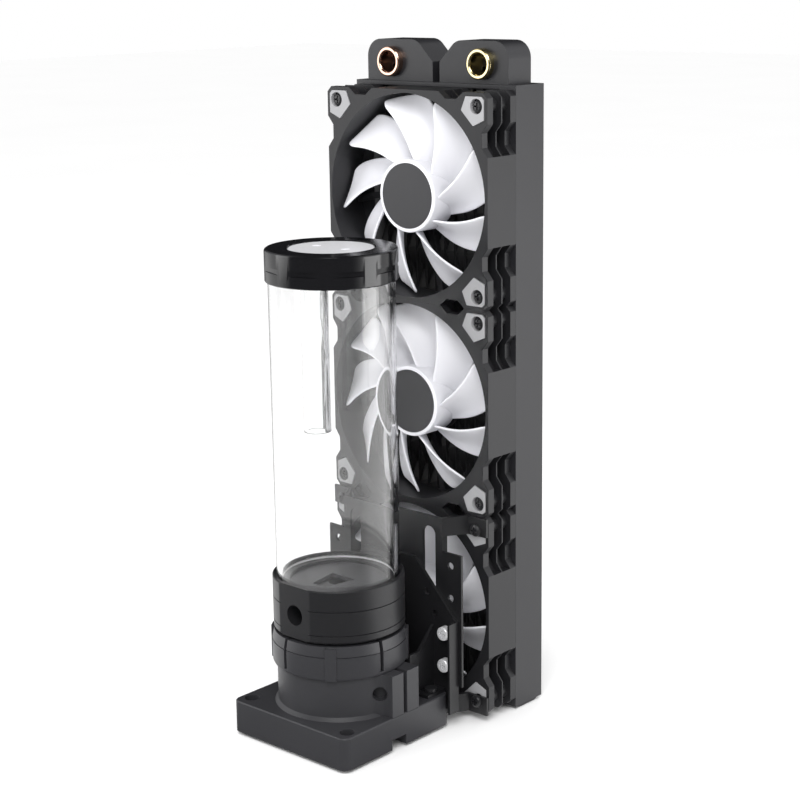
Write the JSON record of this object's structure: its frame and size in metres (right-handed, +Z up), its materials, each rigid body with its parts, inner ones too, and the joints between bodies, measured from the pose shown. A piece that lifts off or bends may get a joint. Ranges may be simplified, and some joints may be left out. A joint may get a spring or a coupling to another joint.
{
  "type": "coolant pump reservoir with fan radiator",
  "caption": "Clear tube reservoir on a round coolant pump and base block, carried by sheet brackets in front of a slim liquid radiator with a column of axial fans.",
  "frame": {"origin": "under the middle of the whole unit, at the level of the radiator's lowest edge", "axes": "+X across the fans to the right seen from the pump side, +Y from the pump towards the radiator, +Z up the reservoir tube"},
  "size_m": [0.12, 0.156, 0.3912],
  "materials": {
    "radiator_paint": "satin",
    "radiator_core": "satin",
    "port_copper": "bright turned metal",
    "port_brass": "bright turned metal",
    "fan_frame_plastic": "matte",
    "corner_pad": "matte",
    "blade_plastic": "satin",
    "badge_plastic": "satin",
    "steel": "ground",
    "bearing_metal": "sintered",
    "winding": "enamelled copper wire",
    "dark_screw": "black oxide",
    "bright_screw": "nickel plated",
    "bracket_paint": "satin powder coat",
    "carrier_paint": "satin powder coat",
    "base_plastic": "fine texture",
    "cover_plastic": "fine texture",
    "can_plastic": "moulded",
    "board": "coated board",
    "ceramic": "polished ceramic",
    "impeller_plastic": "moulded",
    "ring_plastic": "satin",
    "pump_top_plastic": "turned, satin",
    "seal_rubber": "soft",
    "clear_tube": "polished clear acrylic",
    "plate_plastic": "satin",
    "cap_plastic": "gloss",
    "plug_plastic": "satin"
  },
  "bodies": {
    "unit": {"base_block": "base_plastic", "cap_ring": "cap_plastic", "cap_seal": "seal_rubber", "carrier": "carrier_paint", "carrier_screws": "bright_screw", "drive_board": "board", "drop_tube": "clear_tube", "fan_bearing_bottom": "bearing_metal", "fan_bearing_middle": "bearing_metal", "fan_bearing_top": "bearing_metal", "fan_bracket": "bracket_paint", "fan_frame_bottom": "fan_frame_plastic", "fan_frame_middle": "fan_frame_plastic", "fan_frame_top": "fan_frame_plastic", "fan_pads_bottom": "corner_pad", "fan_pads_middle": "corner_pad", "fan_pads_top": "corner_pad", "fan_screws_bottom": "dark_screw", "fan_screws_middle": "dark_screw", "fan_screws_top": "dark_screw", "fan_stator_bottom": "winding", "fan_stator_middle": "winding", "fan_stator_top": "winding", "foot_screws": "dark_screw", "foot_seal": "seal_rubber", "intake_plate": "plate_plastic", "lock_ring": "ring_plastic", "motor_can": "can_plastic", "motor_core": "winding", "pivot_ball": "ceramic", "pump_cover": "cover_plastic", "pump_seal": "seal_rubber", "pump_top": "pump_top_plastic", "rad_fins": "radiator_core", "rad_header_bottom": "radiator_paint", "rad_header_top": "radiator_paint", "rad_port_left": "port_copper", "rad_port_right": "port_brass", "rad_side_left": "radiator_paint", "rad_side_right": "radiator_paint", "rad_tank_bottom": "radiator_paint", "rad_tank_top": "radiator_paint", "rad_tubes": "radiator_core", "reservoir_tube": "clear_tube"},
    "fan_bottom_rotor": {"fan_rotor_bottom": "blade_plastic", "fan_badge_bottom": "badge_plastic", "fan_shaft_bottom": "steel"},
    "fan_middle_rotor": {"fan_rotor_middle": "blade_plastic", "fan_badge_middle": "badge_plastic", "fan_shaft_middle": "steel"},
    "fan_top_rotor": {"fan_rotor_top": "blade_plastic", "fan_badge_top": "badge_plastic", "fan_shaft_top": "steel"},
    "impeller_body": {"impeller": "impeller_plastic"},
    "plug_carrier": {"plug_seal": "seal_rubber"},
    "plug": {"fill_plug": "plug_plastic"}
  },
  "joints": [
    {"name": "fan_bottom_spin", "type": "hinge", "parent": "unit", "child": "fan_bottom_rotor", "pos_m": [0, 0.0405, 0.065], "axis": [0, -1, 0], "continuous": true},
    {"name": "fan_middle_spin", "type": "hinge", "parent": "unit", "child": "fan_middle_rotor", "pos_m": [0, 0.0405, 0.185], "axis": [0, -1, 0], "continuous": true},
    {"name": "fan_top_spin", "type": "hinge", "parent": "unit", "child": "fan_top_rotor", "pos_m": [0, 0.0405, 0.305], "axis": [0, -1, 0], "continuous": true},
    {"name": "impeller_spin", "type": "hinge", "parent": "unit", "child": "impeller_body", "pos_m": [0, -0.03375, 0.0654], "axis": [0, 0, 1], "continuous": true},
    {"name": "plug_lift", "type": "slide", "parent": "unit", "child": "plug_carrier", "axis": [0, 0, 1], "range_m": [0, 0.01]},
    {"name": "plug_turn", "type": "hinge", "parent": "plug_carrier", "child": "plug", "pos_m": [0, -0.03375, 0.278], "axis": [0, 0, 1], "range_deg": [0, 1800]}
  ],
  "couplings": [
    {"joint": "plug_lift", "follows": "plug_turn", "m_per_rad": 0.0003183}
  ]
}
